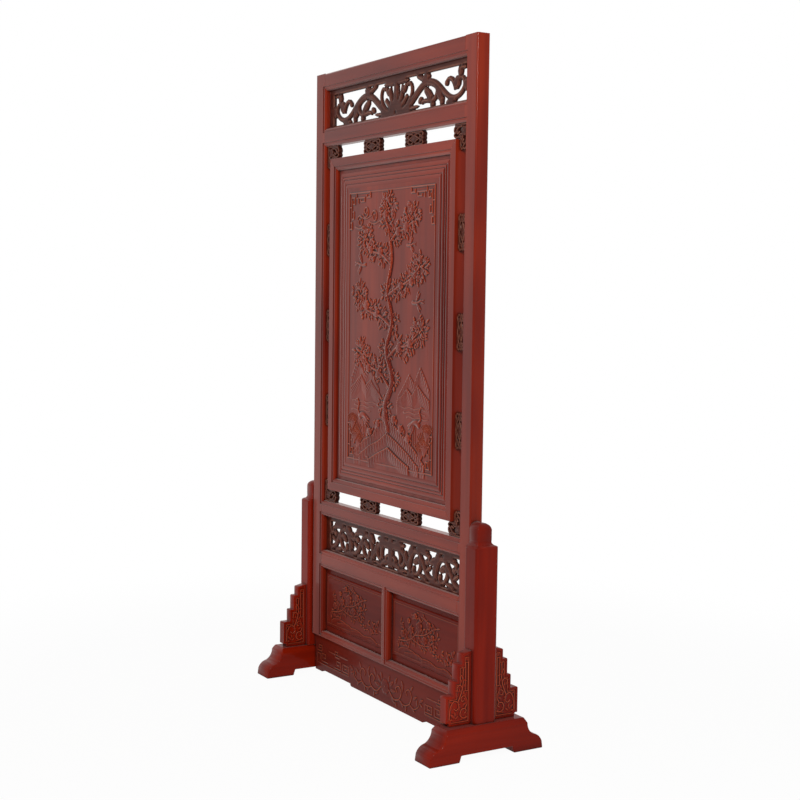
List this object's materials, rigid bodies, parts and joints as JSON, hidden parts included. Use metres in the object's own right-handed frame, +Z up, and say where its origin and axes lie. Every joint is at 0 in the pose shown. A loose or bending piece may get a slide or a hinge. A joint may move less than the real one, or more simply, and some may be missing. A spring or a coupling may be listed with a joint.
{
  "type": "carved wood partition screen",
  "caption": "Tall carved hardwood floor screen: a framed relief panel with pierced frets above and below, held between two posts on broad braced feet.",
  "frame": {"origin": "on the floor, under the middle of the screen", "axes": "+X across the face to the right as seen from the carved front, +Y from the front to the back, +Z up"},
  "size_m": [1.1, 0.381, 2],
  "materials": {
    "varnished_wood": "clear gloss over red-brown stain",
    "carved_wood": "satin over red-brown stain",
    "pierced_wood": "satin over dark brown stain",
    "joinery_wood": "bare wood"
  },
  "bodies": {
    "root": {"foot_left": "varnished_wood", "foot_right": "varnished_wood", "post_left": "varnished_wood", "post_right": "varnished_wood", "apron": "varnished_wood", "muntin": "varnished_wood", "stile_left": "varnished_wood", "stile_right": "varnished_wood", "rail_bottom": "varnished_wood", "rail_dado": "varnished_wood", "rail_waist": "varnished_wood", "rail_frieze": "varnished_wood", "rail_top": "varnished_wood", "inner_rail_bottom": "varnished_wood", "inner_rail_top": "varnished_wood", "inner_stile_left": "varnished_wood", "inner_stile_right": "varnished_wood", "spandrel_left_front": "varnished_wood", "spandrel_left_back": "varnished_wood", "spandrel_right_front": "varnished_wood", "spandrel_right_back": "varnished_wood", "moulding_front_bottom": "varnished_wood", "moulding_front_top": "varnished_wood", "moulding_front_left": "varnished_wood", "moulding_front_right": "varnished_wood", "moulding_back_bottom": "varnished_wood", "moulding_back_top": "varnished_wood", "moulding_back_left": "varnished_wood", "moulding_back_right": "varnished_wood", "main_panel": "carved_wood", "panel_low_left": "carved_wood", "panel_low_right": "carved_wood", "fret_upper": "pierced_wood", "fret_lower": "pierced_wood", "spacer_bottom_left": "pierced_wood", "spacer_bottom_right": "pierced_wood", "spacer_top_left": "pierced_wood", "spacer_top_right": "pierced_wood", "spacer_left_low": "pierced_wood", "spacer_left_middle": "pierced_wood", "spacer_left_high": "pierced_wood", "spacer_right_low": "pierced_wood", "spacer_right_middle": "pierced_wood", "spacer_right_high": "pierced_wood", "spacer_corner_top_left": "pierced_wood", "spacer_corner_top_right": "pierced_wood", "spacer_corner_bottom_left": "pierced_wood", "spacer_corner_bottom_right": "pierced_wood", "apron_pegs": "joinery_wood", "frame_keys": "joinery_wood", "spacer_pegs": "joinery_wood"}
  },
  "joints": []
}
